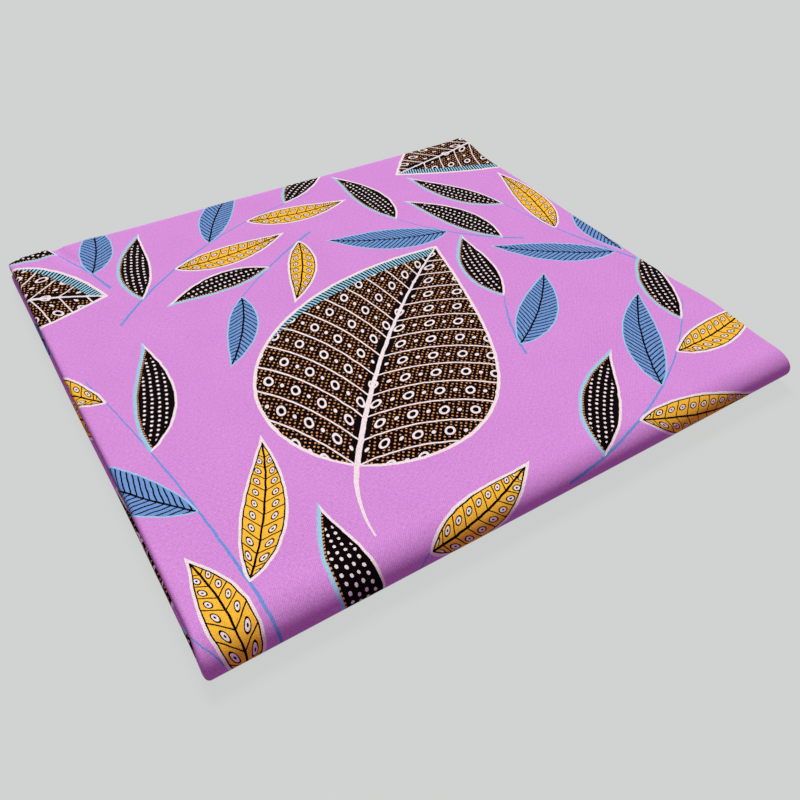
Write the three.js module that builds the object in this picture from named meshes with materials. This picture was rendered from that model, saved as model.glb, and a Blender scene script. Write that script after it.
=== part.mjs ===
// Six yards of wax-printed cotton, folded for the shelf: halved three times along its length,
// then folded in three across its width, then halved once more. It lies flat, forty-eight layers
// deep, with the last fold across the front.
//
// The outermost layers are one wall, which runs from the back over the top, round the front fold
// and back along the underside, and turns down both sides. The layers that it hides share one
// solid. Its edges show between and behind the wall's: the selvages on the right, the folds and
// cut ends at the back.
import * as THREE from "three";
import { mergeVertices } from "three/addons/utils/BufferGeometryUtils.js";

// Driving dimensions, in millimetres. +X runs along the front fold, +Y goes to the back and +Z is
// up. The origin is at the middle of the footprint, on the surface that the bundle lies on.
const clothLength = 5486;
const clothWidth = 1170;
const thirdsAcross = 3;
const halvings = 4;
const layerPitch = 0.375; // one layer of cotton and the air under it
const wallThickness = 1.2; // the outermost three layers
const seamGap = 0.3;
const frontFoldReach = 15; // how far the front fold's curve runs back
const sideRadius = { left: 2.4, right: 2.8 }; // where the top rolls over each side
const grooveDepth = 0.6; // between one folded edge and the next
const cutEndInset = 2.4; // how far the lower half ends short of the upper one

const bundleWidth = clothWidth / thirdsAcross;
const bundleDepth = clothLength / 2 ** halvings;
const layerCount = thirdsAcross * 2 ** halvings;
const bundleHeight = layerCount * layerPitch;
const middle = bundleHeight / 2; // the depth at which the two halves meet
const thirdHeight = middle / thirdsAcross;
const frontFoldY = -bundleDepth / 2 + frontFoldReach;

// How deep the wall turns down each side: on the left the fold takes in all three thirds, and on
// the right it takes in two of them, above the selvages of the last.
const wallReach = { left: middle - seamGap / 2, right: middle - thirdHeight };
const selvageInset = 1.6; // how far the selvages lie in from the wall's right side
const slitInset = 4.5; // how far in the two halves meet, at either side

// How far the sides lie in from the bundle's widest point, in the upper half and in the lower
// one, and how far they sway, with so many waves from one end of the wall to the other.
const sides = {
  left: { sign: -1, upper: 1.0, lower: 0.1, sway: 0.5, waves: 4.3, start: 0.1 },
  right: { sign: 1, upper: 4.3, lower: 4.6, sway: 0.3, waves: 5.2, start: 0.6 },
};

// Where a side bulges out: a place along Y, the half length and the height. In the lower half
// the height is less by a factor.
const bulges = [
  { side: "right", y: -104, long: 40, high: 4.3 },
  { side: "right", y: 75, long: 55, high: 1.8 },
  { side: "right", y: 168, long: 42, high: 4.3 },
];
const lowerBulge = 0.6;

// Soft swellings of the top, where layers below have puckered: a place, the half length and half
// width of the swelling, its turn in degrees and its height.
const swellings = [
  { x: 150, y: -60, long: 110, wide: 60, turn: 80, high: 0.8 },
  { x: -60, y: -100, long: 130, wide: 50, turn: 4, high: 0.6 },
  { x: -150, y: 20, long: 120, wide: 50, turn: 88, high: 0.5 },
  { x: 40, y: 70, long: 120, wide: 70, turn: -20, high: 0.5 },
  { x: -165, y: 140, long: 50, wide: 40, turn: 35, high: 0.9 },
];

// Steps along each stretch of the wall, from the back of the top to the back of the underside.
const stretches = [
  { name: "top", steps: 16 },
  { name: "frontFold", steps: 12 },
  { name: "underside", steps: 16 },
];
const columnsAcross = 13;
const columnMargin = 10; // from the widest point to the first of those columns
const cornerSteps = 3;
const noseSteps = 2; // along the rounded end of the wall, at the back

const lerp = THREE.MathUtils.lerp;
const radians = THREE.MathUtils.degToRad;
const stretchSteps = stretches.reduce((sum, { steps }) => sum + steps, 0);

// The stops along the wall, each a stretch, how far along it lies, and how far along the whole.
const stations = [{ name: "top", share: 0, along: 0 }];
for (const { name, steps } of stretches)
  for (let i = 1; i <= steps; i++)
    stations.push({ name, share: i / steps, along: stations.length / stretchSteps });

// How high the top has swollen at a place.
function swellAt(x, y) {
  let height = 0;
  for (const s of swellings) {
    const turn = radians(s.turn);
    const along = ((x - s.x) * Math.cos(turn) + (y - s.y) * Math.sin(turn)) / s.long;
    const across = ((y - s.y) * Math.cos(turn) - (x - s.x) * Math.sin(turn)) / s.wide;
    height += s.high * Math.exp(-1.6 * (along * along + across * across));
  }
  return height;
}

// The point at a place across the bundle and a depth below its outer surface, at a station. A
// depth of zero is the top, the face of the front fold or the underside, and the two halves meet
// at the depth called middle. The back is where the top or the underside ends, at that depth.
function pointAt({ name, share }, x, depth, back = bundleDepth / 2) {
  if (name === "underside") return [x, lerp(frontFoldY, back, share), depth];
  const turn = radians(name === "top" ? 90 : lerp(90, 270, share));
  const y =
    name === "top"
      ? lerp(back, frontFoldY, share)
      : frontFoldY + (frontFoldReach - depth) * Math.cos(turn);
  const lift = Math.max(0, Math.sin(turn)) * (1 - depth / middle);
  return [x, y, middle + (middle - depth) * Math.sin(turn) + lift * swellAt(x, y)];
}

// Where one of the bundle's sides lies at a station.
function sideAt(side, station) {
  const { sign, upper, lower, sway, waves, start } = sides[side];
  const low = { top: 0, frontFold: station.share, underside: 1 }[station.name];
  const wave = 0.5 + 0.5 * Math.sin(2 * Math.PI * (start + waves * station.along));
  const [, y] = pointAt(station, 0, 0);
  let inset = lerp(upper, lower, low) + sway * wave;
  for (const bulge of bulges.filter((b) => b.side === side)) {
    const away = (y - bulge.y) / bulge.long;
    inset -= bulge.high * Math.exp(-2 * away * away) * lerp(1, lowerBulge, low);
  }
  return sign * (bundleWidth / 2 - inset);
}

// The columns across the flat of the bundle, the same for both solids.
const columns = [];
for (let i = 0; i <= columnsAcross; i++)
  columns.push((bundleWidth / 2 - columnMargin) * lerp(-1, 1, i / columnsAcross));

// A closed mesh from a list of triangles, each three [x, y, z] corners.
function meshOf(name, material, triangles) {
  const positions = new Float32Array(triangles.flat(2));
  const loose = new THREE.BufferGeometry();
  loose.setAttribute("position", new THREE.BufferAttribute(positions, 3));
  const geometry = mergeVertices(loose, 1e-3);
  geometry.computeVertexNormals();
  const mesh = new THREE.Mesh(geometry, material);
  mesh.name = name;
  return mesh;
}

// The two triangles of a quad, less any that has two corners at one point.
function quad(a, b, c, d) {
  const same = (p, q) => Math.hypot(p[0] - q[0], p[1] - q[1], p[2] - q[2]) < 2e-3;
  const halves = [
    [a, b, c],
    [a, c, d],
  ];
  return halves.filter(([p, q, r]) => !same(p, q) && !same(q, r) && !same(p, r));
}

// Points on an arc of the wall's section and, inside each, the point that is a wall's thickness
// nearer to the arc's centre. Angles are in degrees, from +x towards greater depth.
function sectionArc(x, depth, radius, from, to) {
  const inner = Math.max(0, radius - wallThickness);
  const points = [];
  for (let i = 0; i <= cornerSteps; i++) {
    const angle = radians(lerp(from, to, i / cornerSteps));
    points.push({
      outer: [x + radius * Math.cos(angle), depth + radius * Math.sin(angle)],
      inner: [x + inner * Math.cos(angle), depth + inner * Math.sin(angle)],
    });
  }
  return points;
}

// The wall's section at a station: up the left side, across the flat and down the right side,
// with a rounded edge at the foot of each side.
function wallSection(station) {
  const left = sideAt("left", station);
  const right = sideAt("right", station);
  const { left: leftRadius, right: rightRadius } = sideRadius;
  const foot = wallThickness;
  const flat = columns.map((x) => ({ outer: [x, 0], inner: [x, wallThickness] }));
  return [
    ...sectionArc(left + foot, wallReach.left - foot, foot, 90, 180),
    ...sectionArc(left + leftRadius, leftRadius, leftRadius, 180, 270),
    ...flat,
    ...sectionArc(right - rightRadius, rightRadius, rightRadius, 270, 360),
    ...sectionArc(right - foot, wallReach.right - foot, foot, 0, 90),
  ];
}

// The outermost layers as one wall, with a rounded nose where each end meets the back.
function outerWrap(material) {
  const nose = wallThickness / 2;
  const ring = (station, back, narrowed) => {
    const section = wallSection(station).map(({ outer, inner }) => {
      const centre = [(outer[0] + inner[0]) / 2, (outer[1] + inner[1]) / 2];
      const narrow = (p) => [lerp(centre[0], p[0], narrowed), lerp(centre[1], p[1], narrowed)];
      return [narrow(outer), narrow(inner)];
    });
    const outside = section.map(([p]) => pointAt(station, p[0], p[1], back));
    const inside = section.map(([, p]) => pointAt(station, p[0], p[1], back));
    return [...outside, ...inside.reverse()];
  };
  const noseRings = (station, back) => {
    const rings = [];
    for (let i = 1; i <= noseSteps; i++) {
      const angle = (Math.PI / 2) * (i / noseSteps);
      rings.push(ring(station, back + nose * Math.sin(angle), Math.cos(angle)));
    }
    return rings;
  };
  const upperBack = bundleDepth / 2 - nose;
  const lowerBack = upperBack - cutEndInset;
  const backOf = ({ name }) => (name === "underside" ? lowerBack : upperBack);
  const rings = [
    ...noseRings(stations[0], upperBack).reverse(),
    ...stations.map((station) => ring(station, backOf(station), 1)),
    ...noseRings(stations.at(-1), lowerBack),
  ];
  const triangles = [];
  for (let i = 1; i < rings.length; i++)
    for (let j = 0; j < rings[i].length; j++) {
      const next = (j + 1) % rings[i].length;
      const [from, to] = [rings[i - 1], rings[i]];
      triangles.push(...quad(from[j], to[j], to[next], from[next]));
    }
  return meshOf("outer_wrap", material, triangles);
}

// The depths at which the hidden layers' edges are grooved. In the upper half a third of the
// stack is one fold of eight layers. In the lower half it is a fold of four, a fold of two and
// two cut ends, and the last of these share a ridge.
const upperGrooves = [thirdHeight, 2 * thirdHeight, middle];
const lowerGrooves = [];
for (let third = 0; third < thirdsAcross; third++)
  for (const share of [1 / 2, 3 / 4, 1]) lowerGrooves.push((third + share) * thirdHeight);
const selvageGrooves = [];
for (let share = 0; share <= 1; share += 1 / 4)
  selvageGrooves.push(wallReach.right + share * thirdHeight);

// How far in an edge lies at a depth, for ridges as round as they are deep between grooves.
function grooveAt(depth, grooves, start) {
  const edges = [start, ...grooves];
  const groove = edges.findIndex((edge) => edge >= depth - 1e-6);
  const [from, to] = [edges[Math.max(0, groove - 1)], edges[groove]];
  const away = to > from ? Math.abs((2 * depth - from - to) / (to - from)) : 1;
  return grooveDepth * away ** 3;
}

// The layers that the wall hides, as one solid.
function foldedCore(material) {
  const top = wallThickness + seamGap;
  const ridges = [top, ...lowerGrooves.filter((depth) => depth > top + seamGap)];
  const depths = [];
  ridges.slice(1).forEach((to, i) => {
    const from = ridges[i];
    depths.push(from, lerp(from, to, 1 / 4), lerp(from, to, 3 / 4));
  });
  depths.push(middle);

  // Where the core's side lies at a station and a depth: inside the wall, or past its foot.
  const coreSide = (side, station, depth) => {
    const { sign } = sides[side];
    if (depth === middle) return sign * (bundleWidth / 2 - slitInset);
    const outline = sideAt(side, station);
    const radius = Math.max(seamGap, sideRadius[side] - top);
    const rise = Math.max(0, radius - (depth - top));
    const round = radius - Math.sqrt(radius * radius - rise * rise);
    const inset =
      side === "right" && depth > wallReach.right + seamGap
        ? selvageInset + grooveAt(depth, selvageGrooves, wallReach.right)
        : top + round;
    return outline - sign * inset;
  };
  const backAt = (station, depth) => {
    const upper = station.name !== "underside";
    const groove = upper ? grooveAt(depth, upperGrooves, 0) : grooveAt(depth, lowerGrooves, 0);
    const shared = depth === middle ? cutEndInset + grooveDepth : 0; // the halves meet in a groove
    return bundleDepth / 2 - Math.max(groove + (upper ? 0 : cutEndInset), shared);
  };
  const row = (station, depth) => {
    const xs = [
      coreSide("left", station, depth),
      ...columns,
      coreSide("right", station, depth),
    ];
    return xs.map((x) => pointAt(station, x, depth, backAt(station, depth)));
  };

  const triangles = [];
  const strip = (from, to) => {
    for (let j = 1; j < from.length; j++)
      triangles.push(...quad(from[j - 1], to[j - 1], to[j], from[j]));
  };
  const crust = stations.map((station) => row(station, top));
  for (let i = 1; i < crust.length; i++) strip(crust[i - 1], crust[i]);
  const backOf = (station) => depths.map((depth) => row(station, depth));
  const upperRows = backOf(stations[0]).reverse();
  const lowerRows = backOf(stations.at(-1));
  for (let i = 1; i < depths.length; i++) {
    strip(upperRows[i - 1], upperRows[i]);
    strip(lowerRows[i - 1], lowerRows[i]);
  }
  for (let i = 1; i < stations.length; i++)
    for (let j = 1; j < depths.length; j++) {
      const corners = (side) => {
        const at = (station, depth) =>
          pointAt(station, coreSide(side, station, depth), depth, backAt(station, depth));
        return [
          at(stations[i - 1], depths[j - 1]),
          at(stations[i - 1], depths[j]),
          at(stations[i], depths[j]),
          at(stations[i], depths[j - 1]),
        ];
      };
      triangles.push(...quad(...corners("left")), ...quad(...corners("right").reverse()));
    }
  return meshOf("folded_core", material, triangles);
}

const printedCotton = new THREE.MeshStandardMaterial({
  color: "#d98edb",
  roughness: 0.78,
  metalness: 0,
});
const foldedEdges = new THREE.MeshStandardMaterial({
  color: "#b06fb4",
  roughness: 0.85,
  metalness: 0,
});

const bundle = new THREE.Group();
bundle.add(outerWrap(printedCotton), foldedCore(foldedEdges));

export default bundle;
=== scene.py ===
# Six yards of wax-printed cotton, folded for the shelf into a flat bundle of forty-eight layers.
import math
import bmesh
import bpy
import numpy as np
from mathutils import Matrix, Vector


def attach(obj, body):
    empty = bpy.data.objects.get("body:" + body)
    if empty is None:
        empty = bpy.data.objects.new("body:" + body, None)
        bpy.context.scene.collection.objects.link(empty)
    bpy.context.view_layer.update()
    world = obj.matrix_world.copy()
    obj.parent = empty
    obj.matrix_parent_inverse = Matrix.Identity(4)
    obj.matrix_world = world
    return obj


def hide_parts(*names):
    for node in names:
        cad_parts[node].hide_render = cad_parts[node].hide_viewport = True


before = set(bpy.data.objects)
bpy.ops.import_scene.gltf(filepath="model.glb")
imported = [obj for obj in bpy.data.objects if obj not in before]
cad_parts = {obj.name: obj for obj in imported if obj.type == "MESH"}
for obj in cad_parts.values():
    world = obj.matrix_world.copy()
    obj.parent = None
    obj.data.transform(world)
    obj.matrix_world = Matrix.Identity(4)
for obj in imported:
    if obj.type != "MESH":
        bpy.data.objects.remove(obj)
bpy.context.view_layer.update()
scene = bpy.context.scene
mm = 0.001
print("frame loaded")

# The bundle, in mm: x along the front fold, y to the back, z up from the floor.
bundle = {
    "width": 390.0,
    "depth": 342.875,
    "height": 18.0,
    "third": 3.0,  # the eight layers of one third of either half
    "wayShares": (4 / 11, 3 / 11, 4 / 11),  # of the way round: top, front fold and underside
    "lowerEndInset": 2.4,  # how far the lower half ends short of the upper one
    "lowerBulge": 0.6,  # share of a side's bulge that the lower half follows
    "bulgeFall": 2.0,  # how steeply a side's bulge falls off, and a swelling of the top
    "swellingFall": 1.6,
    "creaseEnd": 0.7,  # how blunt the soft end of a crease is
    "foldReach": 15.0,  # how far back the front fold's curve runs
    "looseFrom": 60.0,  # the x where the fold starts to lie looser, and where it is loosest
    "looseTo": -180.0,
    "foldSlack": 6.0,  # there: how much further its upper half runs,
    "foldDroop": 2.4,  # how far its foremost line sinks,
    "droopSharpness": (4, 14),  # how sharply that fades above the line and below it,
    "foldInset": 1.4,  # and how far back the line lies
}
middle = bundle["height"] / 2
backY = bundle["depth"] / 2
foldY = bundle["foldReach"] - backY
sides = {  # how far in each side lies, in the upper half and the lower, and how it sways
    "left": {"sign": -1, "upper": 1.0, "lower": 0.1, "sway": 0.5, "waves": 4.3, "start": 0.1},
    "right": {"sign": 1, "upper": 4.3, "lower": 4.6, "sway": 0.3, "waves": 5.2, "start": 0.6},
}
bulges = [  # side, y, half length, how far
    ("right", -104, 40, 4.3),
    ("right", 75, 55, 1.8),
    ("right", 168, 42, 4.3),
    ("left", -172, 14, 1.8),
]
swellings = [  # x, y, half length, half width, turn in degrees, height
    (150, -60, 110, 60, 80, 0.8),
    (-60, -100, 130, 50, 4, 0.6),
    (-150, 20, 120, 50, 88, 0.5),
    (40, 70, 120, 70, -20, 0.5),
    (-165, 140, 50, 40, 35, 0.9),
]
creases = [  # x, y at each end, half width, height: soft ridges and troughs in the top
    (-163, 177, -152, 138, 4.0, -1.9),
    (-171, 180, -164, 136, 5.0, 0.7),
    (-184, 178, -176, 132, 6.0, 0.5),
    (-206, 158, -188, 186, 9.0, -2.8),
    (-141, 178, -128, 150, 7.0, 0.5),
    (-196, -112, -176, -150, 6.0, 0.25),
    (-150, -128, -118, -168, 9.0, -0.22),
    (64, -166, 108, -118, 10.0, 0.22),
    (-10, -170, 22, -126, 11.0, -0.16),
    (176, 66, 193, -30, 7.0, 0.30),
    (160, -20, 184, -112, 9.0, -0.20),
    (-40, 170, 60, 152, 9.0, 0.18),
    (-128, -14, -24, -72, 15.0, 0.16),
    (14, 118, 124, 58, 13.0, -0.16),
    (-186, 96, -176, -40, 8.0, -0.18),
    (204, 176, 184, 142, 13.0, 1.5),
]


def swellAt(x, y):
    height = 0 * x
    for atX, atY, long, wide, degrees, high in swellings:
        turn = math.radians(degrees)
        along = ((x - atX) * math.cos(turn) + (y - atY) * math.sin(turn)) / long
        across = ((y - atY) * math.cos(turn) - (x - atX) * math.sin(turn)) / wide
        height = height + high * np.exp(-bundle["swellingFall"] * (along**2 + across**2))
    return height


def creaseAt(x, y):
    height = 0 * x
    for fromX, fromY, toX, toY, wide, high in creases:
        runX, runY = toX - fromX, toY - fromY
        share = np.clip(((x - fromX) * runX + (y - fromY) * runY) / (runX**2 + runY**2), 0, 1)
        away = np.hypot(x - fromX - share * runX, y - fromY - share * runY) / wide
        # full where it starts, and soft at its end
        fade = np.sin(np.pi * np.maximum(share, 0.5)) ** bundle["creaseEnd"]
        height = height + high * fade * np.exp(-away * away)
    return height


# The point at x and a depth below the bundle's outer surface. On the top and the underside y says
# how far back it is, and on the fold the turn does: 90 degrees at the top, 180 at the front and
# 270 underneath.
def pointAt(y, turn, x, depth):
    loose = np.clip((bundle["looseFrom"] - x) / (bundle["looseFrom"] - bundle["looseTo"]), 0, 1)
    loose = loose * loose * (3 - 2 * loose)
    slack = bundle["foldSlack"] * loose * (turn < math.pi)
    forward = np.clip(-np.cos(turn), 0, 1)
    above, below = bundle["droopSharpness"]
    droop = bundle["foldDroop"] * loose * forward ** np.where(turn < math.pi, above, below)
    pushed = slack * np.clip((backY - y) / (backY - foldY), 0, 1)
    placeY = y + pushed + (bundle["foldReach"] + slack - depth) * np.cos(turn)
    placeY = placeY + bundle["foldInset"] * loose * forward**2
    outer = 1 - depth / middle  # 1 at the surface, and 0 in the middle
    up = np.clip(np.sin(turn), 0, 1)
    lift = up * (outer * swellAt(x, placeY)
                 + np.clip(1 - depth / bundle["third"], 0, 1) * creaseAt(x, placeY))
    return x, placeY, middle + (middle - depth) * np.sin(turn) + lift - droop * outer


# Where a side of the bundle lies, so far along the way from the back of the top to the back of
# the underside.
def sideAt(side, y, along, low):
    given = sides[side]
    wave = 0.5 + 0.5 * np.sin(2 * np.pi * (given["start"] + given["waves"] * along))
    inset = given["upper"] + (given["lower"] - given["upper"]) * low + given["sway"] * wave
    followed = 1 + (bundle["lowerBulge"] - 1) * low
    for name, atY, long, far in bulges:
        if name == side:
            fade = np.exp(-bundle["bulgeFall"] * ((y - atY) / long) ** 2)
            inset = inset - far * fade * followed
    return given["sign"] * (bundle["width"] / 2 - inset)


# Stations from the back of the top, round the front fold, to the back of the underside. Each has
# its y and turn, its share of the whole way, how far down it is, from 0 to 1, and how far along
# the flat cloth it lies.
def stationsOf(topSteps, foldSteps, underSteps, topEnd, underEnd):
    topShare, foldShare, underShare = bundle["wayShares"]
    rows = []
    for i in range(topSteps + 1):
        y = topEnd + (foldY - topEnd) * i / topSteps
        rows.append((y, math.pi / 2, topShare * i / topSteps, 0, backY - y))
    flat, turnStep = backY - foldY, math.pi / foldSteps
    for i in range(1, foldSteps + 1):
        turn = math.pi / 2 + math.pi * i / foldSteps
        mid = turn - turnStep / 2
        flat += math.hypot(bundle["foldReach"] * math.sin(mid), middle * math.cos(mid)) * turnStep
        rows.append((foldY, turn, topShare + foldShare * i / foldSteps, i / foldSteps, flat))
    for i in range(1, underSteps + 1):
        y = foldY + (underEnd - foldY) * i / underSteps
        share = topShare + foldShare + underShare * i / underSteps
        rows.append((y, 3 * math.pi / 2, share, 1, flat + y - foldY))
    return rows


# The outermost layer, which is all that shows from above: over the top, round the front fold and
# back underneath. It turns down each side and in under itself, and at the back it closes over the
# layers that it was folded with.
cloth = {
    "thickness": 0.35,
    "topSteps": 126,
    "foldSteps": 26,
    "underSteps": 48,
    "flatColumns": 150,
    "cornerSteps": 6,  # round a side's upper corner, then down it, round its foot and in
    "sideSteps": 3,
    "footSteps": 5,
    "inwardSteps": 2,
    "cornerRadius": {"left": 2.4, "right": 2.8},
    "footRadius": {"left": 2.1, "right": 1.6},
    "sideDepth": {"left": 8.85, "right": 5.95},  # on the right the selvages show below it
    "turnedIn": 3.0,
    "upperNose": 3.0,  # the back of the top is a fold of eight layers
    "lowerNose": 1.5,  # and that of the underside a fold of four
    "noseSteps": 7,
    "noseRuns": (1.5, 4.0),  # stations on the cloth's way back in below a nose
    "noseTaper": 12.0,  # a nose fills out over this length from each side
    "noseSpare": 0.15,  # and stops this far short of the middle of a side's corner
}


# One side of the cloth's section, from the flat down. Each column has its offset from the side,
# its depth, the way inwards in x and in depth, the most that it can go that way, and how far out
# it lies on the flat cloth.
def sideColumns(side):
    sign, deep = sides[side]["sign"], cloth["sideDepth"][side]
    corner, foot = cloth["cornerRadius"][side], cloth["footRadius"][side]
    cornerRoom, footRoom = corner - cloth["noseSpare"], foot - cloth["noseSpare"]
    columns = []
    for i in range(cloth["cornerSteps"] + 1):
        turn = math.pi / 2 * i / cloth["cornerSteps"]
        sine, cosine = math.sin(turn), math.cos(turn)
        columns.append((corner * (1 - sine), corner * (1 - cosine), sine, cosine, cornerRoom,
                        corner * (turn - 1)))
    flat, straight = corner * (math.pi / 2 - 1), deep - foot - corner
    for i in range(1, cloth["sideSteps"] + 1):
        run = straight * i / cloth["sideSteps"]
        columns.append((0, corner + run, 1, 0, cornerRoom, flat + run))
    flat += straight
    for i in range(1, cloth["footSteps"] + 1):
        turn = math.pi / 2 * i / cloth["footSteps"]
        sine, cosine = math.sin(turn), math.cos(turn)
        columns.append((foot * (1 - cosine), deep - foot * (1 - sine), cosine, -sine, footRoom,
                        flat + foot * turn))
    flat += foot * math.pi / 2
    for i in range(1, cloth["inwardSteps"] + 1):
        run = cloth["turnedIn"] * i / cloth["inwardSteps"]
        columns.append((foot + run, deep, 0, -1, footRoom, flat + run))
    return np.array([(-sign * x, depth, -sign * inX, inDepth, most, sign * out)
                     for x, depth, inX, inDepth, most, out in columns]).T


# The cloth's stations and the nose that it closes in at each end. Each gains the nose's size, the
# turn round it and the run back in below it.
def clothStations():
    upper, lower = cloth["upperNose"], cloth["lowerNose"]
    rows = stationsOf(cloth["topSteps"], cloth["foldSteps"], cloth["underSteps"],
                      backY - upper / 2, backY - bundle["lowerEndInset"] - lower / 2)

    def nose(row, size, sign):
        turns = [math.pi * i / cloth["noseSteps"] for i in range(1, cloth["noseSteps"] + 1)]
        steps = [(turn, 0) for turn in turns] + [(math.pi, run) for run in cloth["noseRuns"]]
        return [(*row[:4], row[4] + sign * (size / 2 * turn + run), size, turn, run)
                for turn, run in steps]

    return np.array([*reversed(nose(rows[0], upper, -1)), *((*row, 0, 0, 0) for row in rows),
                     *nose(rows[-1], lower, 1)], float)


# A grid of points, and the place of each on the flat cloth, where x and y are those of the
# bundle's top.
def clothGrid():
    y, turn, along, low, flat, size, noseTurn, run = clothStations().T[:, :, None]
    outerY = y + bundle["foldReach"] * np.cos(turn)
    left, right = sideAt("left", outerY, along, low), sideAt("right", outerY, along, low)
    corner = cloth["cornerRadius"]
    share = np.linspace(0, 1, cloth["flatColumns"] + 1)[1:-1]
    taper = np.clip(np.minimum(share, 1 - share) * bundle["width"] / cloth["noseTaper"], 0, 1)
    slim = min(corner.values()) - cloth["noseSpare"]
    room, none = slim + (cloth["upperNose"] - slim) * taper, 0 * share
    flatPart = np.array([none, none, none, none + 1, room, none])
    flatBase = (left + corner["left"]) * (1 - share) + (right - corner["right"]) * share
    parts = [(left, sideColumns("left")[:, ::-1]), (flatBase, flatPart),
             (right, sideColumns("right"))]
    grids = zip(*[[base + 0 * columns[0], *(0 * base + column for column in columns)]
                  for base, columns in parts])
    base, offset, depth, inX, inDepth, most, out = (np.hstack(grid) for grid in grids)
    inward = np.minimum(size, most) / 2 * (1 - np.cos(noseTurn))
    outward = size / 2 * np.sin(noseTurn) - run
    x, placeY, z = pointAt(y + outward, turn, base + offset + inX * inward,
                           depth + inDepth * inward)
    return x, placeY, z, base + out, backY - flat + 0 * base


def newPiece(name, data):
    piece = bpy.data.objects.new(name, data)
    scene.collection.objects.link(piece)
    return piece


def addNode(tree, kind, inputs=(), **settings):
    node = tree.nodes.new(kind)
    for name, value in settings.items():
        setattr(node, name, value)
    for slot, value in inputs.items() if isinstance(inputs, dict) else enumerate(inputs):
        value = value.outputs[0] if isinstance(value, bpy.types.Node) else value
        if isinstance(value, bpy.types.NodeSocket):
            tree.links.new(value, node.inputs[slot])
        else:
            node.inputs[slot].default_value = value
    return node


mathNode, vectorNode, noiseNode = "ShaderNodeMath", "ShaderNodeVectorMath", "ShaderNodeTexNoise"


def linear(code):  # an sRGB hex value as linear light
    shares = [int(code[i:i + 2], 16) / 255 for i in (0, 2, 4)]
    return (*(s / 12.92 if s <= 0.04045 else ((s + 0.055) / 1.055) ** 2.4 for s in shares), 1)


x, y, z, flatX, flatY = clothGrid()
index = np.arange(x.size).reshape(x.shape)
quads = np.stack([index[:-1, :-1], index[1:, :-1], index[1:, 1:], index[:-1, 1:]], -1)
quads = quads.reshape(-1, 4)
clothMesh = bpy.data.meshes.new("printedCloth")
points = np.stack([x, y, z], -1).reshape(-1, 3) * mm
clothMesh.from_pydata(points.tolist(), [], quads.tolist())
clothMesh.polygons.foreach_set("use_smooth", [True] * len(quads))
printedCloth = newPiece("printedCloth", clothMesh)
wall = printedCloth.modifiers.new("thickness", "SOLIDIFY")
wall.thickness, wall.offset = cloth["thickness"] * mm, -1
print("printed cloth:", len(quads), "faces")

# The print, on the flat cloth. Every leaf has its own place along and across its midline, which
# the material reads at each corner of a face, so that its edges and veins are as sharp as a
# printed line. Lengths are in mm, and headings and bends in degrees.
leafKinds = {  # number, and how blunt the base and the tip are
    "broad": (1, 0.55, 1.00),
    "blue": (2, 0.85, 1.10),
    "ochre": (3, 0.80, 1.15),
    "dark": (4, 0.95, 1.30),
}
stemKinds = {"blue": (1, 0.8), "cream": (2, 1.3)}  # number and half width
printing = {
    "repeat": 384.0,  # the print comes round again after this length
    "reach": 12.0,  # a face this far from every leaf is plain ground
    "endShare": 0.001,  # of its length: nearer to its ends than this a leaf grows no slimmer
    "pastEnds": 1.4,  # how much faster a leaf is left behind past its ends than at its sides
    "firstLeaf": 0.14,  # where on its stem a sprig's first leaf grows, and its last
    "lastLeaf": 0.88,
    "leafAngle": 46.0,  # between a leaf and the foot of its stem, and how much less at the tip
    "angleLoss": 14.0,
    "leafBend": 24.0,
    "longestAt": 0.4,  # where on its stem the longest leaf grows,
    "longest": 1.08,  # its length as a share of what its sprig gives,
    "lengthLoss": 0.25,  # and how much of that is lost over a whole stem from there
}
broadLeaves = [  # base x, y, heading, bend, length, half width, and its stem's length and bend
    (-84, -112, 54, -20, 220, 71, 46, 34),
    (300, 170, 184, 8, 196, 56, 10, 10),
    (-244, 132, -10, -20, 104, 40, 10, 8),
]
sprigs = [  # base x, y, heading, bend, length, first side, leaves, their length and half width
    (-160, -176, 92, 10, 200, -1, "ochre blue dark ochre", 92, 11.5),
    (8, -172, 6, 38, 190, 1, "dark ochre blue ochre dark", 88, 11.5),
    (188, -46, 116, -20, 130, 1, "blue ochre dark", 88, 11.5),
    (-150, 62, 46, -40, 206, 1, "dark ochre blue ochre dark", 82, 11.0),
    (-118, -214, 62, -30, 66, 1, "dark ochre", 82, 11.5),
    (135, 17, 150, -36, 109, -1, "dark blue dark", 86, 12.5),
    (4, 101, 206, 14, 103, 1, "ochre dark blue", 74, 10.0),
    (51, -84, 74, -24, 68, -1, "blue dark", 81, 12.5),
    (-143, 104, 103, 24, 158, -1, "blue dark ochre blue", 65, 11.5),
    (192, 100, 272, 9, 80, 1, "dark blue", 66, 12.5),
]


def arcPlace(x, y, arc):  # how far along an arc a point is, and how far to its left
    baseX, baseY, heading, bend, length = arc
    turn, sweep = math.radians(heading), math.radians(bend)
    u = (x - baseX) * math.cos(turn) + (y - baseY) * math.sin(turn)
    v = (y - baseY) * math.cos(turn) - (x - baseX) * math.sin(turn)
    sign, radius = math.copysign(1, sweep), length / abs(sweep)
    inward = radius - sign * v
    return radius * np.arctan2(u, inward), sign * (radius - np.hypot(u, inward))


def arcPoint(arc, share):  # the point at a share of an arc, and its heading there
    baseX, baseY, heading, bend, length = arc
    turn, sweep = math.radians(heading), math.radians(bend)
    u, v = length / sweep * math.sin(sweep * share), length / sweep * (1 - math.cos(sweep * share))
    x = baseX + u * math.cos(turn) - v * math.sin(turn)
    y = baseY + u * math.sin(turn) + v * math.cos(turn)
    return x, y, heading + bend * share


# What to multiply a leaf's form by, share**blunt * (1 - share)**point, for this half width.
def fullWidth(wide, kind):
    _, blunt, point = leafKinds[kind]
    widest = blunt / (blunt + point)
    return wide / (widest**blunt * (1 - widest) ** point)


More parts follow.
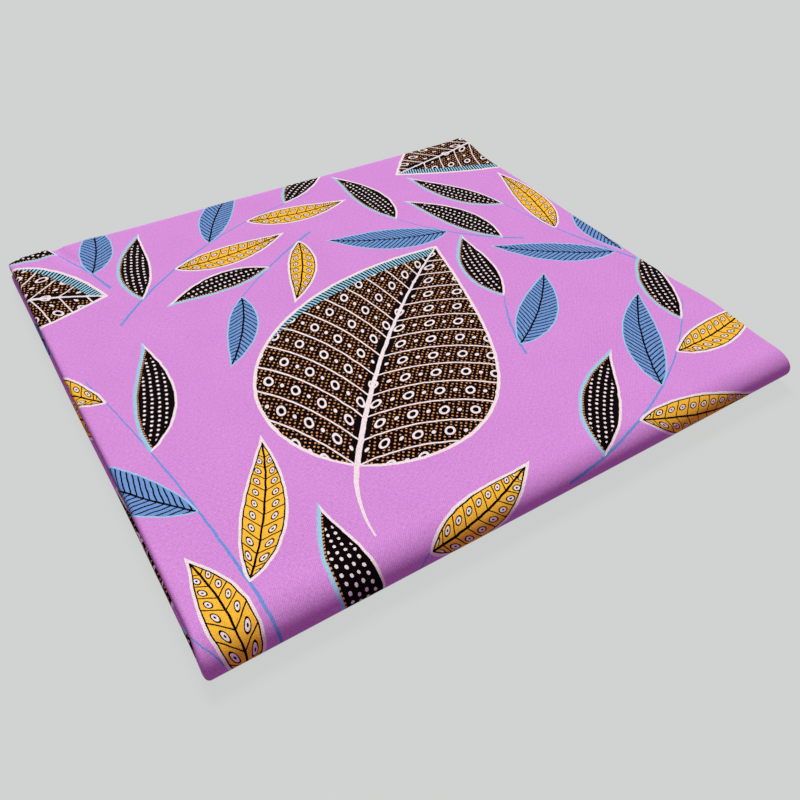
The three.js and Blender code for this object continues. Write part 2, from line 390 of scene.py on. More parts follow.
leaves, stems = [], []  # each an arc, a half width and a kind
for baseX, baseY, heading, bend, length, wide, stemLength, stemBend in broadLeaves:
    leaves.append(((baseX, baseY, heading, bend, length), wide, "broad"))
    stalk = (baseX, baseY, heading + 180, stemBend, stemLength)
    stems.append((stalk, stemKinds["cream"][1], "cream"))
first, last = printing["firstLeaf"], printing["lastLeaf"]
for *arc, side, kinds, leafLength, wide in sprigs:
    stems.append((arc, stemKinds["blue"][1], "blue"))
    names = kinds.split()
    for n, kind in enumerate(names):
        share = first + (last - first) * n / (len(names) - 1)
        atX, atY, toward = arcPoint(arc, share)
        toward += side * (printing["leafAngle"] - printing["angleLoss"] * share)
        grown = printing["longest"] - printing["lengthLoss"] * abs(share - printing["longestAt"])
        leaf = (atX, atY, toward, -printing["leafBend"] * side, leafLength * grown)
        leaves.append((leaf, wide * grown, kind))
        side = -side


# How far inside a leaf or a stem a point is, where s is along it and t across it.
def leafEdge(s, t, length, wide, kind):
    _, blunt, point = leafKinds[kind]
    share = np.clip(s / length, printing["endShare"], 1 - printing["endShare"])
    beyond = np.maximum(np.maximum(-s, s - length), 0)
    halfWide = fullWidth(wide, kind) * share**blunt * (1 - share) ** point
    return halfWide - np.abs(t) - printing["pastEnds"] * beyond


def stemEdge(s, t, length, wide, kind):
    return wide - np.abs(t) - np.maximum(np.maximum(-s, s - length), 0)


def leafNumbers(length, wide, kind):
    number, blunt, point = leafKinds[kind]
    return (length, fullWidth(wide, kind), number), (blunt, point, 0)


def stemNumbers(length, wide, kind):
    return (length, wide, stemKinds[kind][0]), (0, 0, 0)


cornerX, cornerY = flatX.ravel()[quads.ravel()], flatY.ravel()[quads.ravel()]
faceX, faceY = cornerX.reshape(-1, 4).mean(1), cornerY.reshape(-1, 4).mean(1)


# Gives each face the motif that it is deepest in or nearest to, and each of its corners a place
# on that motif.
def nearestMotif(motifs, edgeOf, numbersOf):
    best = np.full(len(faceX), -printing["reach"])
    place = np.zeros((len(cornerX), 2))
    shape, form = np.zeros((len(cornerX), 3)), np.zeros((len(cornerX), 3))
    for shift in (0, -printing["repeat"], printing["repeat"]):
        for (baseX, baseY, heading, bend, length), wide, kind in motifs:
            arc = (baseX, baseY + shift, heading, bend, length)
            edge = edgeOf(*arcPlace(faceX, faceY, arc), length, wide, kind)
            won = edge > best
            best[won] = edge[won]
            corners = np.repeat(won, 4)
            place[corners] = np.stack(arcPlace(cornerX[corners], cornerY[corners], arc), 1)
            shape[corners], form[corners] = numbersOf(length, wide, kind)
    return place, shape, form


leafPlace, leafShape, leafForm = nearestMotif(leaves, leafEdge, leafNumbers)
stemPlace, stemShape, _ = nearestMotif(stems, stemEdge, stemNumbers)
flatPlace = np.stack([cornerX, cornerY], 1)
for name, values in (("flatPlace", flatPlace), ("leafPlace", leafPlace), ("stemPlace", stemPlace)):
    clothMesh.uv_layers.new(name=name).data.foreach_set("uv", values.astype(np.float32).ravel())
for name, values in (("leafShape", leafShape), ("leafForm", leafForm), ("stemShape", stemShape)):
    layer = clothMesh.attributes.new(name, "FLOAT_VECTOR", "CORNER")
    layer.data.foreach_set("vector", values.astype(np.float32).ravel())
print("print laid out:", len(leaves), "leaves")

dyes = {
    "ground": "d89bda", "deepGround": "d494d6", "ink": "0b0405",
    "cream": "f2eee2", "ochre": "fdca3b", "gold": "e2a462",
    "blue": "72a2d3", "cyan": "9adae3", "stem": "729fd8",
}
# Sums that draw the print, in mm: a name, an operation of a Math node and its terms. ALL
# multiplies its terms, CELL gives the distance from the middle of a cell of that pitch, and AWAY
# the length of two sides.
leafSums = [
    ("along", "MULTIPLY_ADD", "swayAlong", 0.9, "alongRaw"),
    ("across", "MULTIPLY_ADD", "swayAcross", 0.9, "acrossRaw"),
    ("shareRaw", "DIVIDE", "along", "length"),
    ("pastBase", "GREATER_THAN", "shareRaw", 0.0),
    ("shortOfTip", "LESS_THAN", "shareRaw", 1.0),
    ("shareUp", "MAXIMUM", "shareRaw", 0.0005),
    ("share", "MINIMUM", "shareUp", 0.9995),
    ("rest", "SUBTRACT", 1.0, "share"),
    ("baseRise", "POWER", "share", "blunt"),
    ("tipFall", "POWER", "rest", "point"),
    ("halfWide", "ALL", "baseRise", "tipFall", "wide"),
    ("slopeBase", "DIVIDE", "blunt", "share"),
    ("slopeTip", "DIVIDE", "point", "rest"),
    ("slopeBoth", "SUBTRACT", "slopeBase", "slopeTip"),
    ("slopeMm", "MULTIPLY", "slopeBoth", "halfWide"),
    ("slope", "DIVIDE", "slopeMm", "length"),
    ("steepness", "AWAY", "slope", 1.0),
    ("off", "ABSOLUTE", "across"),
    ("gap", "SUBTRACT", "halfWide", "off"),
    ("edge", "DIVIDE", "gap", "steepness"),  # how far in from the leaf's edge
    ("inEdge", "GREATER_THAN", "edge", 0.0),
    ("isBroad", "COMPARE", "kind", 1.0, 0.5),
    ("isBlue", "COMPARE", "kind", 2.0, 0.5),
    ("isOchre", "COMPARE", "kind", 3.0, 0.5),
    ("isDark", "COMPARE", "kind", 4.0, 0.5),
    ("broad", "ALL", "isBroad", "inEdge", "pastBase", "shortOfTip"),
    ("blueLeaf", "ALL", "isBlue", "inEdge", "pastBase", "shortOfTip"),
    ("ochreLeaf", "ALL", "isOchre", "inEdge", "pastBase", "shortOfTip"),
    ("darkLeaf", "ALL", "isDark", "inEdge", "pastBase", "shortOfTip"),
    ("leftSide", "GREATER_THAN", "across", 0.0),
    ("thinRib", "LESS_THAN", "off", 0.55),
    ("rim", "LESS_THAN", "edge", 1.45),
    # broad leaf: veins that lean to the tip, with a row of rings and dots between each two
    ("lean", "MULTIPLY_ADD", "off", -0.80, "along"),
    ("offSquare", "MULTIPLY", "off", "off"),
    ("bowed", "MULTIPLY_ADD", "offSquare", 0.0055, "lean"),
    ("veinMm", "CELL", "bowed", 18.0),
    ("veinOff", "ABSOLUTE", "veinMm"),
    ("onVein", "GREATER_THAN", "veinOff", 8.35),
    ("offVein", "LESS_THAN", "veinOff", 7.9),
    ("rowMm", "MULTIPLY", "veinMm", 0.8),
    ("rowTurn", "DIVIDE", "bowed", 18.0),
    ("rowNumber", "FLOOR", "rowTurn"),
    ("spotRun", "MULTIPLY_ADD", "rowNumber", 4.2, "off"),
    ("spotMm", "CELL", "spotRun", 8.4),
    ("spotTurn", "DIVIDE", "spotRun", 8.4),
    ("spotNumber", "FLOOR", "spotTurn"),
    ("isRing", "FLOORED_MODULO", "spotNumber", 2.0),
    ("spotAway", "AWAY", "rowMm", "spotMm"),
    ("spotSize", "MULTIPLY_ADD", "isRing", 1.75, 1.2),
    ("holeSize", "MULTIPLY_ADD", "isRing", 1.75, -0.1),
    ("clearSize", "ADD", "spotSize", 0.8),
    ("inSpot", "LESS_THAN", "spotAway", "spotSize"),
    ("outHole", "GREATER_THAN", "spotAway", "holeSize"),
    ("offSpot", "GREATER_THAN", "spotAway", "clearSize"),
    ("inGrain", "LESS_THAN", "grain", 0.225),
    ("farOut", "GREATER_THAN", "off", 4.5),
    ("broadGold", "ALL", "inGrain", "offSpot", "offVein", "farOut", "broad"),
    ("broadSpots", "ALL", "inSpot", "outHole", "broad"),
    ("broadVeins", "ALL", "onVein", "broad"),
    ("hatchRise", "MULTIPLY_ADD", "share", 26.0, -8.0),
    ("hatchReach", "MINIMUM", "hatchRise", 9.0),
    ("inHatch", "LESS_THAN", "edge", "hatchReach"),
    ("hatchMm", "CELL", "bowed", 2.6),
    ("onHatch", "GREATER_THAN", "hatchMm", 0.0),
    ("hatch", "ALL", "inHatch", "leftSide", "broad"),
    ("hatchLines", "ALL", "hatch", "onHatch"),
    ("ribHalf", "MULTIPLY_ADD", "share", -1.0, 1.6),
    ("onRib", "LESS_THAN", "off", "ribHalf"),
    ("inRim", "LESS_THAN", "edge", 2.0),
    ("broadRib", "ALL", "onRib", "broad"),
    ("broadRim", "ALL", "inRim", "broad"),
    # blue leaflet: close dark barbs on both sides of a dark midrib
    ("barbRun", "MULTIPLY_ADD", "off", -1.0, "along"),
    ("barbMm", "CELL", "barbRun", 3.7),
    ("onBarb", "GREATER_THAN", "barbMm", 0.75),
    ("inBarbs", "GREATER_THAN", "edge", 1.1),
    ("thinRim", "LESS_THAN", "edge", 0.75),
    ("blueBarbs", "ALL", "onBarb", "inBarbs", "blueLeaf"),
    ("blueRib", "ALL", "thinRib", "blueLeaf"),
    ("blueRim", "ALL", "thinRim", "blueLeaf"),
    # ochre leaflet: cream rim, dark line, and a seed between each two veins
    ("seedRun", "MULTIPLY_ADD", "off", -0.7, "along"),
    ("seedMm", "CELL", "seedRun", 7.6),
    ("onSeedVein", "LESS_THAN", "seedMm", -3.1),
    ("seedRow", "MULTIPLY", "seedMm", 0.82),
    ("seedLane", "MULTIPLY_ADD", "halfWide", -0.46, "off"),
    ("seedAway", "AWAY", "seedRow", "seedLane"),
    ("seedRoom", "GREATER_THAN", "halfWide", 4.6),
    ("inSeedInk", "LESS_THAN", "seedAway", 1.9),
    ("inSeed", "LESS_THAN", "seedAway", 1.35),
    ("inCore", "LESS_THAN", "seedAway", 0.5),
    ("inLine", "LESS_THAN", "edge", 2.1),
    ("ochreSeedInk", "ALL", "inSeedInk", "seedRoom", "ochreLeaf"),
    ("ochreSeeds", "ALL", "inSeed", "seedRoom", "ochreLeaf"),
    ("ochreCores", "ALL", "inCore", "seedRoom", "ochreLeaf"),
    ("ochreVeins", "ALL", "onSeedVein", "ochreLeaf"),
    ("ochreRib", "ALL", "thinRib", "ochreLeaf"),
    ("ochreLine", "ALL", "inLine", "ochreLeaf"),
    ("ochreRim", "ALL", "rim", "ochreLeaf"),
    # dark leaflet: lanes of cream beads, one edge cream and the other pale blue with gold dashes
    # and a soft halo
    ("laneMm", "CELL", "off", 4.0),
    ("laneTurn", "DIVIDE", "off", 4.0),
    ("laneNumber", "FLOOR", "laneTurn"),
    ("beadRun", "MULTIPLY_ADD", "laneNumber", 1.8, "along"),
    ("beadMm", "CELL", "beadRun", 3.6),
    ("beadAway", "AWAY", "laneMm", "beadMm"),
    ("onBead", "LESS_THAN", "beadAway", 0.85),
    ("inBeads", "GREATER_THAN", "edge", 3.0),
    ("dashMm", "CELL", "along", 1.9),
    ("onDash", "GREATER_THAN", "dashMm", 0.0),
    ("inDash", "LESS_THAN", "edge", 2.4),
    ("darkBeads", "ALL", "onBead", "inBeads", "darkLeaf"),
    ("darkDashes", "ALL", "onDash", "inDash", "leftSide", "darkLeaf"),
    ("darkRim", "ALL", "rim", "darkLeaf"),
    ("darkPale", "ALL", "rim", "leftSide", "darkLeaf"),
    ("haloRise", "MULTIPLY_ADD", "edge", 0.7, 0.9),
    ("haloUp", "MAXIMUM", "haloRise", 0.0),
    ("haloSoft", "MINIMUM", "haloUp", 0.7),
    ("darkHalo", "ALL", "haloSoft", "leftSide", "isDark", "pastBase", "shortOfTip"),
    # stems
    ("stemAlong", "MULTIPLY_ADD", "swayAlong", 1.2, "stemAlongRaw"),
    ("stemAcross", "MULTIPLY_ADD", "swayAcross", 0.9, "stemAcrossRaw"),
    ("stemShare", "DIVIDE", "stemAlong", "stemLength"),
    ("stemTaper", "MULTIPLY_ADD", "stemShare", -0.75, 1.1),
    ("stemHalf", "MULTIPLY", "stemTaper", "stemWide"),
    ("stemOff", "ABSOLUTE", "stemAcross"),
    ("inStem", "LESS_THAN", "stemOff", "stemHalf"),
    ("pastFoot", "GREATER_THAN", "stemShare", 0.0),
    ("shortOfEnd", "LESS_THAN", "stemShare", 1.0),
    ("isBlueStem", "COMPARE", "stemKind", 1.0, 0.5),
    ("isCreamStem", "COMPARE", "stemKind", 2.0, 0.5),
    ("blueStem", "ALL", "inStem", "pastFoot", "shortOfEnd", "isBlueStem"),
    ("creamStem", "ALL", "inStem", "pastFoot", "shortOfEnd", "isCreamStem"),
]
printOrder = [  # where, and in which dye, from the ground up
    ("blueStem", "stem"), ("creamStem", "cream"), ("darkHalo", "cyan"),
    ("broad", "ink"), ("broadGold", "gold"), ("broadSpots", "cream"), ("broadVeins", "cream"),
    ("hatch", "ink"), ("hatchLines", "cyan"), ("broadRib", "cream"), ("broadRim", "cream"),
    ("blueLeaf", "blue"), ("blueBarbs", "ink"), ("blueRib", "ink"), ("blueRim", "cyan"),
    ("ochreLeaf", "ochre"), ("ochreVeins", "ink"), ("ochreSeedInk", "ink"), ("ochreSeeds", "cream"),
    ("ochreCores", "ink"), ("ochreRib", "ink"), ("ochreLine", "ink"), ("ochreRim", "cream"),
    ("darkLeaf", "ink"), ("darkBeads", "cream"), ("darkDashes", "gold"), ("darkRim", "cream"),
    ("darkPale", "cyan"),
]


def singleSteps(name, operation, terms):
    if operation == "ALL" and len(terms) > 2:
        return [*singleSteps(name + "Part", "ALL", terms[:-1]),
                (name, "MULTIPLY", [name + "Part", terms[-1]])]
    if operation == "ALL":
        return [(name, "MULTIPLY", terms)]
    if operation == "CELL":
        return [(name + "Turn", "DIVIDE", terms), (name + "Cell", "FRACT", [name + "Turn"]),
                (name + "Side", "SUBTRACT", [name + "Cell", 0.5]),
                (name, "MULTIPLY", [name + "Side", terms[1]])]
    if operation == "AWAY":
        return [(name + "Other", "MULTIPLY", [terms[1], terms[1]]),
                (name + "Square", "MULTIPLY_ADD", [terms[0], terms[0], name + "Other"]),
                (name, "SQRT", [name + "Square"])]
    return [(name, operation, terms)]


# Plain-weave cotton, wax printed and calendered flat: matt, with crisp dyes right through and a
# faint grain from its uneven threads. They lie 0.33 mm apart, and are drawn at 0.62 mm so that
# they show.
weave = {
    "roughness": 0.85,
    "specular": 0.03,
    "threadPitch": 0.62,
    "slubLength": 1.9,
    "crossings": 0.17,  # how much lighter the warp is than the whole, and the weft darker
    "slubs": 0.13,  # how much lighter and darker uneven threads are,
    "slubRange": (0.6, 1.4),  # from this sum of their two noises to this one
    "bump": 0.06,
    "bumpStrength": 0.5,
    "crossingBump": 0.5,  # the crossings' share in it
    "handRun": 7.0,  # over this length the print is 0.1 mm or so off, as if drawn by hand
    "cloudRun": 30.0,  # and the ground's dye varies a little over this one
    "grainPitch": 2.6,  # of the broad leaf's gold dots
    "grainUnevenness": 0.25,
}
printedCotton = bpy.data.materials.new("printedPlainWeaveCotton")
printedCotton.use_nodes = True
tree = printedCotton.node_tree
shader = tree.nodes["Principled BSDF"]
shader.inputs["Roughness"].default_value = weave["roughness"]
shader.inputs["Specular IOR Level"].default_value = weave["specular"]

flat = addNode(tree, "ShaderNodeUVMap", uv_map="flatPlace")
leafUv = addNode(tree, "ShaderNodeUVMap", uv_map="leafPlace")
stemUv = addNode(tree, "ShaderNodeUVMap", uv_map="stemPlace")
flatParts = addNode(tree, "ShaderNodeSeparateXYZ", [flat])
numbers = [addNode(tree, "ShaderNodeAttribute", attribute_name=name).outputs["Vector"]
           for name in ("leafShape", "leafForm", "stemShape")]
made = {}
for source, names in (
    (leafUv, ("alongRaw", "acrossRaw")),
    (stemUv, ("stemAlongRaw", "stemAcrossRaw")),
    (numbers[0], ("length", "wide", "kind")),
    (numbers[1], ("blunt", "point")),
    (numbers[2], ("stemLength", "stemWide", "stemKind")),
):
    parts = addNode(tree, "ShaderNodeSeparateXYZ", [source])
    made.update({name: parts.outputs[i] for i, name in enumerate(names)})
hand = addNode(tree, noiseNode, {"Vector": flat, "Scale": 1 / weave["handRun"], "Detail": 1},
               noise_dimensions="2D")
unsteady = addNode(tree, "ShaderNodeSeparateColor", [hand.outputs["Color"]])
for i, name in enumerate(("swayAlong", "swayAcross")):
    made[name] = addNode(tree, mathNode, [unsteady.outputs[i], 0.5], operation="SUBTRACT")
made["grain"] = addNode(
    tree, "ShaderNodeTexVoronoi",
    {"Vector": leafUv, "Scale": 1 / weave["grainPitch"], "Randomness": weave["grainUnevenness"]},
    voronoi_dimensions="2D").outputs["Distance"]
for row in leafSums:
    for name, operation, terms in singleSteps(row[0], row[1], list(row[2:])):
        terms = [made.get(term, term) for term in terms]
        made[name] = addNode(tree, mathNode, terms, operation=operation)

made["clouds"] = addNode(
    tree, noiseNode, {"Vector": flat, "Scale": 1 / weave["cloudRun"], "Detail": 2},
    noise_dimensions="2D")
colour = linear(dyes["ground"])
for mask, dye in [("clouds", "deepGround"), *printOrder]:
    colour = addNode(tree, "ShaderNodeMix", {0: made[mask], 6: colour, 7: linear(dyes[dye])},
                     data_type="RGBA").outputs[2]
fine, long = 1 / weave["threadPitch"], 1 / weave["slubLength"]
slubs, waves = [], []
for axis, stretch in enumerate(((long, fine, 0), (fine, long, 0))):
    laid = addNode(tree, vectorNode, [flat, stretch], operation="MULTIPLY")
    slubs.append(addNode(tree, noiseNode, {"Vector": laid, "Scale": 1, "Detail": 1},
                         noise_dimensions="2D"))
    turns = addNode(tree, mathNode, [flatParts.outputs[axis], math.pi * fine],
                    operation="MULTIPLY")
    waves.append(addNode(tree, mathNode, [turns], operation="SINE"))
slub = addNode(tree, mathNode, slubs, operation="ADD")
# 1 where a thread of the warp is on top, and -1 where one of the weft is
crossing = addNode(tree, mathNode, waves, operation="MULTIPLY")
darkest, lightest = 1 - weave["slubs"], 1 + weave["slubs"]
uneven = addNode(tree, "ShaderNodeMapRange", [slub, *weave["slubRange"], darkest, lightest],
                 clamp=False)
tone = addNode(tree, mathNode, [crossing, weave["crossings"], uneven], operation="MULTIPLY_ADD")
woven = addNode(tree, mathNode, [crossing, weave["crossingBump"], slub], operation="MULTIPLY_ADD")
grained = addNode(tree, vectorNode, {0: colour, "Scale": tone}, operation="SCALE")
relief = addNode(tree, "ShaderNodeBump", {
    "Strength": weave["bumpStrength"], "Distance": weave["bump"] * mm, "Height": woven})
tree.links.new(grained.outputs[0], shader.inputs["Base Color"])
tree.links.new(relief.outputs[0], shader.inputs["Normal"])
clothMesh.materials.append(printedCotton)
print("print drawn:", len(tree.nodes), "nodes")

# The same cotton at its folded edges and selvages: the print runs over each in short slivers of
# colour, and the thread ends make it softer to the eye than the calendered face.
edgeLook = {
    "roughness": 0.9,
    "specular": 0.03,
    "sliverScale": 42.0,  # to the metre
    "fibreScale": 1400.0,
    "fibreBump": 0.1,
    "bumpStrength": 0.4,
}
slivers = [  # where each dye starts in the noise that lays them out
    (0.0, "ochre"), (0.30, "ink"), (0.36, "cream"), (0.385, "ground"), (0.60, "cream"),
    (0.615, "ink"), (0.66, "gold"), (0.68, "ink"), (0.73, "blue"),
]
foldedEdgeCotton = bpy.data.materials.new("foldedEdgesOfPrintedCotton")
foldedEdgeCotton.use_nodes = True
tree = foldedEdgeCotton.node_tree
shader = tree.nodes["Principled BSDF"]
shader.inputs["Roughness"].default_value = edgeLook["roughness"]
shader.inputs["Specular IOR Level"].default_value = edgeLook["specular"]
where = addNode(tree, "ShaderNodeTexCoord").outputs["Object"]
parts = addNode(tree, "ShaderNodeSeparateXYZ", [where])
along = addNode(tree, mathNode, [parts.outputs[0], parts.outputs[1]], operation="ADD")
seed = addNode(tree, "ShaderNodeAttribute", attribute_name="layerSeed").outputs["Fac"]
place = addNode(tree, "ShaderNodeCombineXYZ", [along, seed])
sliver = addNode(tree, noiseNode, {"Vector": place, "Scale": edgeLook["sliverScale"], "Detail": 3},
                 noise_dimensions="2D")
ramp = addNode(tree, "ShaderNodeValToRGB", [sliver])
ramp.color_ramp.interpolation = "CONSTANT"
for i, (start, dye) in enumerate(slivers):
    stop = ramp.color_ramp.elements[i] if i < 2 else ramp.color_ramp.elements.new(start)
    stop.position, stop.color = start, linear(dyes[dye])
fibre = addNode(tree, noiseNode, {"Vector": where, "Scale": edgeLook["fibreScale"], "Detail": 2})
relief = addNode(tree, "ShaderNodeBump", {
    "Strength": edgeLook["bumpStrength"], "Distance": edgeLook["fibreBump"] * mm, "Height": fibre})
tree.links.new(ramp.outputs[0], shader.inputs["Base Color"])
tree.links.new(relief.outputs[0], shader.inputs["Normal"])

# The edges of the layers inside, which show at the back and low on the right. Each is a strip
# swept along the edge.
layers = {
    "stripReach": 9.0,  # how far in a strip runs, out of sight
    "unevenness": 0.35,
    "waveLength": 38.0,
    "roundness": 0.45,  # of a strip's edges, as a share of its thickness
    "cornerSteps": 3,
    "seed": 11,
    "seedStep": 3.7,  # from the noise of one strip to that of the next
    "noiseGain": 4.0,  # because the noise stays near its middle
    "points": 64,  # along a strip at the back
    "selvageSteps": (40, 14, 40),
    "selvageEnd": 1.0,  # how far from the back a selvage ends
}


def edgeTree():
    tree = bpy.data.node_groups.new("foldedEdges", "GeometryNodeTree")
    for way in ("INPUT", "OUTPUT"):
        tree.interface.new_socket("Geometry", in_out=way, socket_type="NodeSocketGeometry")
    for kind, names in (
        ("Float", ("Thickness", "Reach", "Roundness", "Unevenness", "Wave Length")),
        ("Vector", ("Outward",)),
        ("Int", ("Seed", "Corner Steps")),
        ("Material", ("Material",)),
    ):
        for name in names:
            tree.interface.new_socket(name, in_out="INPUT", socket_type="NodeSocket" + kind)
    get = tree.nodes.new("NodeGroupInput").outputs
    perWave = addNode(tree, mathNode, [1.0, get["Wave Length"]], operation="DIVIDE")
    position = addNode(tree, "GeometryNodeInputPosition")
    place = addNode(tree, vectorNode, {0: position, "Scale": perWave}, operation="SCALE")
    number = addNode(tree, "GeometryNodeCurveOfPoint").outputs["Curve Index"]
    seed = addNode(tree, mathNode, [number, layers["seedStep"], get["Seed"]],
                   operation="MULTIPLY_ADD")
    noise = addNode(tree, noiseNode, {"Vector": place, "W": seed, "Scale": 1, "Detail": 2},
                    noise_dimensions="4D")
    centred = addNode(tree, mathNode, [noise, 0.5], operation="SUBTRACT")
    swing = addNode(tree, mathNode, [centred, get["Unevenness"]], operation="MULTIPLY")
    wide = addNode(tree, mathNode, [swing, layers["noiseGain"]], operation="MULTIPLY")
    move = addNode(tree, vectorNode, {0: get["Outward"], "Scale": wide}, operation="SCALE")
    moved = addNode(tree, "GeometryNodeSetPosition", {
        "Geometry": get["Geometry"], "Offset": move})
    section = addNode(tree, "GeometryNodeCurvePrimitiveQuadrilateral", {
        "Width": get["Reach"], "Height": get["Thickness"]}, mode="RECTANGLE")
    radius = addNode(tree, mathNode, [get["Thickness"], get["Roundness"]], operation="MULTIPLY")
    rounded = addNode(tree, "GeometryNodeFilletCurve", {
        "Curve": section, "Count": get["Corner Steps"], "Radius": radius, "Limit Radius": True},
        mode="POLY")
    swept = addNode(tree, "GeometryNodeCurveToMesh", {
        "Curve": moved, "Profile Curve": rounded, "Fill Caps": True})
    named = addNode(tree, "GeometryNodeStoreNamedAttribute", {
        "Geometry": swept, "Name": "layerSeed", "Value": seed}, data_type="FLOAT", domain="POINT")
    real = addNode(tree, "GeometryNodeRealizeInstances", [named])
    finished = addNode(tree, "GeometryNodeSetMaterial", {
        "Geometry": real, "Material": get["Material"]})
    addNode(tree, "NodeGroupOutput", [finished])
    return tree


foldedEdges = edgeTree()


# The line of one edge: across the back of either half, or round the whole way at the right.
def edgeLine(kind, depth, inset):
    if kind == "selvage":
        end = backY - layers["selvageEnd"]
        rows = stationsOf(*layers["selvageSteps"], end, end - bundle["lowerEndInset"])
        y, turn, along, low, _ = np.array(rows).T
        x = sideAt("right", y + bundle["foldReach"] * np.cos(turn), along, low) - inset
        return np.stack(pointAt(y, turn, x, depth), 1)
    low = int(kind == "lower")
    end, turn = backY - low * bundle["lowerEndInset"], math.pi * (0.5 + low)
    left, right = sideAt("left", end, low, low) + inset, sideAt("right", end, low, low) - inset
    x = np.linspace(left, right, layers["points"])
    return np.stack(np.broadcast_arrays(*pointAt(end, turn, x, depth)), 1)


def sweptEdges(lines, **values):
    curve = bpy.data.curves.new("edges", "CURVE")
    curve.dimensions = "3D"
    for line in lines:
        spline = curve.splines.new("POLY")
        spline.points.add(len(line) - 1)
        places = np.column_stack([line * mm, np.ones(len(line))])
        spline.points.foreach_set("co", places.ravel())
    holder = newPiece("edges", curve)
    modifier = holder.modifiers.new("edges", "NODES")
    modifier.node_group = foldedEdges
    for item in foldedEdges.interface.items_tree:
        if item.in_out == "INPUT" and item.name in values:
            modifier[item.identifier] = values[item.name]
    bpy.context.view_layer.update()
    finished = holder.evaluated_get(bpy.context.evaluated_depsgraph_get())
    mesh = bpy.data.meshes.new_from_object(finished)
    holder.modifiers.remove(modifier)
    bpy.data.objects.remove(holder)
    return mesh


third, thirds = bundle["third"], range(3)
toBack, toRight = (0, 1, 0), (1, 0, 0)
edgeSets = [  # kind, depths of the strips' middles, thickness, inset at the sides, way out
    # folds of eight layers, of four and of two
    ("upper", [third * 1.5, third * 2.5 - 0.1], 2.88, 3.2, toBack),
    ("lower", [third * n + 0.75 for n in thirds[1:]], 1.45, 2.0, toBack),
    ("lower", [third * n + 1.875 for n in thirds], 0.72, 2.0, toBack),
    # cut ends, and selvages
    ("lower", [third * n + end for n in thirds for end in (2.4375, 2.78)], 0.33, 2.0, toBack),
    ("selvage", [third * 2 + 0.19 + 0.365 * n for n in range(8)], 0.34, 2.0, toRight),
]
gathered = bmesh.new()
for n, (kind, depths, thickness, inset, outward) in enumerate(edgeSets):
    inward = np.array(outward) * layers["stripReach"] / 2
    mesh = sweptEdges([edgeLine(kind, depth, inset) - inward for depth in depths], **{
        "Thickness": thickness * mm,
        "Reach": layers["stripReach"] * mm,
        "Roundness": layers["roundness"],
        "Unevenness": layers["unevenness"] * mm,
        "Wave Length": layers["waveLength"] * mm,
        "Outward": outward,
        "Seed": layers["seed"] + n,
        "Corner Steps": layers["cornerSteps"],
        "Material": foldedEdgeCotton,
    })
    gathered.from_mesh(mesh)
    bpy.data.meshes.remove(mesh)
edgeMesh = bpy.data.meshes.new("foldedLayers")
gathered.to_mesh(edgeMesh)
gathered.free()
edgeMesh.materials.append(foldedEdgeCotton)
foldedLayers = newPiece("foldedLayers", edgeMesh)
print("folded edges:", len(edgeMesh.polygons), "faces")

# The camera stands in front of the bundle's left corner and looks down on it.
shot = {
    "place": (-217.49, -317.47, 304.80),
    "azimuth": -0.566937,  # this and the next two in radians
    "elevation": 0.797841,
    "roll": 0.025388,
    "focalLength": 734.12,  # in pixels of the frame
    "centre": (-42.75, 22.5),  # the lens axis, right of and below the frame's middle, in pixels
    "frame": 800,
    "sensor": 36.0,
    "clip": (0.01, 50.0),  # in metres
}
azimuth, elevation, roll = shot["azimuth"], shot["elevation"], shot["roll"]
level = Vector((math.cos(azimuth), math.sin(azimuth), 0))
backward = Vector((math.sin(azimuth) * math.cos(elevation),
                   -math.cos(azimuth) * math.cos(elevation), math.sin(elevation)))
upright = backward.cross(level)
axes = (level * math.cos(roll) + upright * math.sin(roll),
        upright * math.cos(roll) - level * math.sin(roll), backward)
lens = bpy.data.cameras.new("camera")
lens.sensor_width = shot["sensor"]
lens.lens = shot["sensor"] * shot["focalLength"] / shot["frame"]
rightOf, below = shot["centre"]
lens.shift_x, lens.shift_y = -rightOf / shot["frame"], below / shot["frame"]
lens.clip_start, lens.clip_end = shot["clip"]
camera = newPiece("camera", lens)
turned = Matrix(axes).transposed().to_4x4()
camera.matrix_world = Matrix.Translation(Vector(shot["place"]) * mm) @ turned
scene.camera = camera

# An opal acrylic table, lit from below so that it stays pale and nearly without shadow, under a
# soft key light from behind and a little fill from all round.
studio = {
    "table": "3e3f3e",
    "roughness": 0.95,
    "tableReach": 6.0,  # in metres, to each side
    "tableDrop": 0.3,  # how far its top lies below the bundle, in mm
    "glowColour": "dde1de",
    "glow": 0.805,
    "keyFrom": (0.2, 0.8, 1.0),
    "keyWidth": 22.0,  # in degrees
    "key": 3.06,
    "fillColour": "fdbafd",
    "fill": 0.2749,
}
opal = bpy.data.materials.new("litOpalAcrylic")
opal.use_nodes = True
shader = opal.node_tree.nodes["Principled BSDF"]
for name, value in (
    ("Base Color", linear(studio["table"])),
    ("Roughness", studio["roughness"]),
    ("Specular IOR Level", 0.0),
    ("Emission Color", linear(studio["glowColour"])),
    ("Emission Strength", studio["glow"]),
):
    shader.inputs[name].default_value = value
half, top = studio["tableReach"], -studio["tableDrop"] * mm
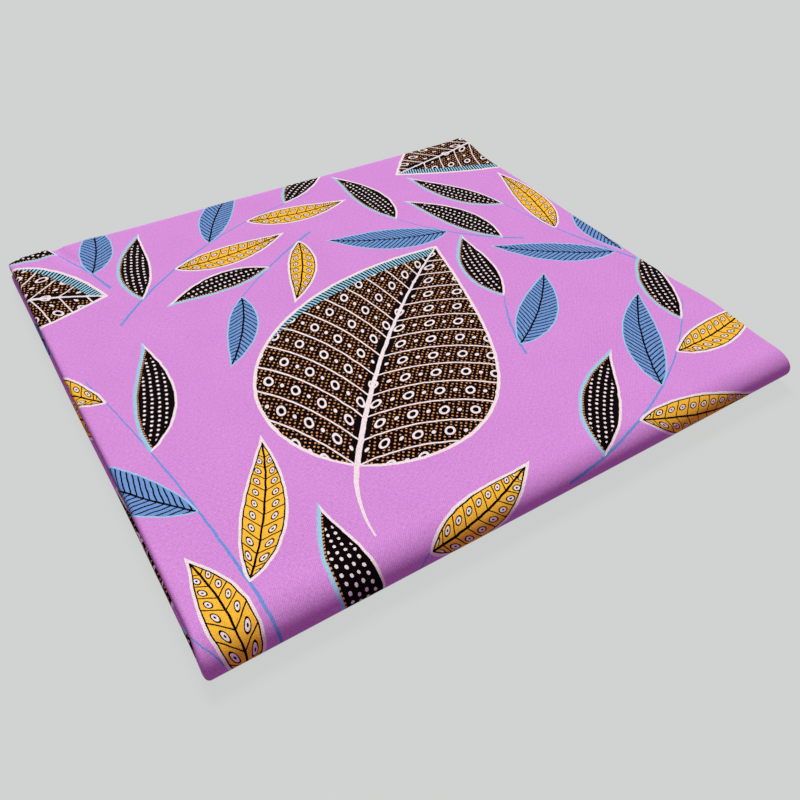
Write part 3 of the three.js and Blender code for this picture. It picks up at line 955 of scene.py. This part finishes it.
corners = [(x * half, y * half, top) for x, y in ((-1, -1), (1, -1), (1, 1), (-1, 1))]
floorMesh = bpy.data.meshes.new("floor")
floorMesh.from_pydata(corners, [], [(0, 1, 2, 3)])
floorMesh.materials.append(opal)
floor = newPiece("floor", floorMesh)
floor.visible_diffuse = False  # its glow is for the eye alone, and doesn't light the fold

# A sweep of the same acrylic closes the view all round, so that the table runs on with no horizon.
sweep = {"start": 4.0, "curve": 2.0, "height": 3.5, "sides": 96, "steps": 12}  # in metres
ring = np.linspace(0, 2 * math.pi, sweep["sides"], endpoint=False)
bend = np.linspace(0, math.pi / 2, sweep["steps"])[:, None]
reach = sweep["start"] + sweep["curve"] * np.vstack([np.sin(bend), 1])
rise = np.vstack([sweep["curve"] * (1 - np.cos(bend)), sweep["height"]])
rings = np.broadcast_arrays(reach * np.cos(ring), reach * np.sin(ring), rise)
number = np.arange(rings[0].size).reshape(rings[0].shape)
onward = np.roll(number, -1, 1)
faces = np.stack([number[:-1], number[1:], onward[1:], onward[:-1]], -1).reshape(-1, 4)
sweepMesh = bpy.data.meshes.new("sweep")
sweepMesh.from_pydata(np.stack(rings, -1).reshape(-1, 3).tolist(), [], faces.tolist())
sweepMesh.materials.append(opal)
backdrop = newPiece("sweep", sweepMesh)
backdrop.visible_diffuse = backdrop.visible_shadow = False

sun = bpy.data.lights.new("softKey", "SUN")
sun.angle, sun.energy = math.radians(studio["keyWidth"]), studio["key"]
key = newPiece("softKey", sun)
key.rotation_euler = (-Vector(studio["keyFrom"])).to_track_quat("-Z", "Y").to_euler()
world = bpy.data.worlds.new("studio")
world.use_nodes = True
background = world.node_tree.nodes["Background"]
background.inputs["Color"].default_value = linear(studio["fillColour"])
background.inputs["Strength"].default_value = studio["fill"]
scene.world = world
scene.view_settings.view_transform = "Standard"
print("camera, table and light set")

for piece, node, slot in ((printedCloth, "outer_wrap", "printed_cotton"),
                          (foldedLayers, "folded_core", "printed_cotton_edges")):
    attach(piece, "root")
    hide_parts(node)
